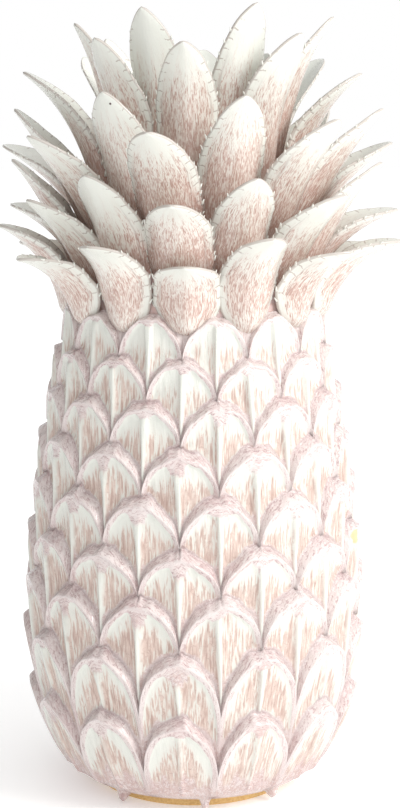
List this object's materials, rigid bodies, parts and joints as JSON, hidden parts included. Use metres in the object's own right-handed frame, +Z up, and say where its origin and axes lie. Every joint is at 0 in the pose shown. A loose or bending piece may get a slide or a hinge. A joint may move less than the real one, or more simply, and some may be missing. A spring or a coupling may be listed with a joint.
{
  "type": "ceramic pineapple ornament",
  "caption": "Hand-built glazed ceramic pineapple with overlapping arched scales and a spreading crown of cupped, spiny leaves, standing on its own foot",
  "frame": {"origin": "on the table, in the middle of the foot", "axes": "+Z up through the fruit and the crown, -Y the side that faces the viewer"},
  "size_m": [0.2731, 0.2647, 0.5261],
  "materials": {
    "glaze": "gloss"
  },
  "bodies": {
    "root": {"pineapple": "glaze"}
  },
  "joints": []
}
